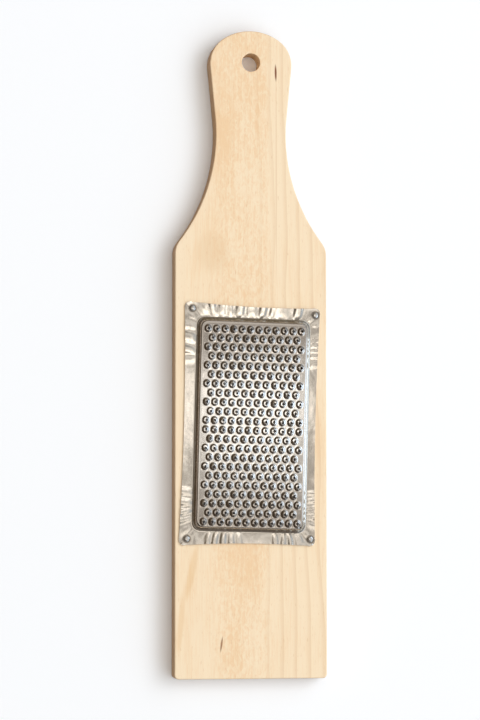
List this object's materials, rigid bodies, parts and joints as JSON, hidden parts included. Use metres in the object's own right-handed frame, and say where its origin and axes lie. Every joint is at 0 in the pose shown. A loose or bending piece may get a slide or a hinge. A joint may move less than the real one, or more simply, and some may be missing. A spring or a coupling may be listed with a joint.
{
  "type": "kitchen grater",
  "caption": "Flat wooden paddle with a round-ended handle and hanging hole, and a pressed tinplate grating sheet of small burst holes nailed over a window in the wood.",
  "frame": {"origin": "middle of the board's length and width, on its back face, where it lies on a table", "axes": "+Y along the board towards the end of the handle, +Z out of the grating side, +X to the right as the grating side is seen with the handle up"},
  "size_m": [0.071, 0.3, 0.0139],
  "materials": {
    "wood": "sanded bare softwood",
    "tinplate": "bright tinplate",
    "nail_steel": "bright steel, slightly dulled"
  },
  "bodies": {
    "root": {"board": "wood", "grater_plate": "tinplate", "nail_upper_left": "nail_steel", "nail_upper_right": "nail_steel", "nail_lower_left": "nail_steel", "nail_lower_right": "nail_steel"}
  },
  "joints": []
}
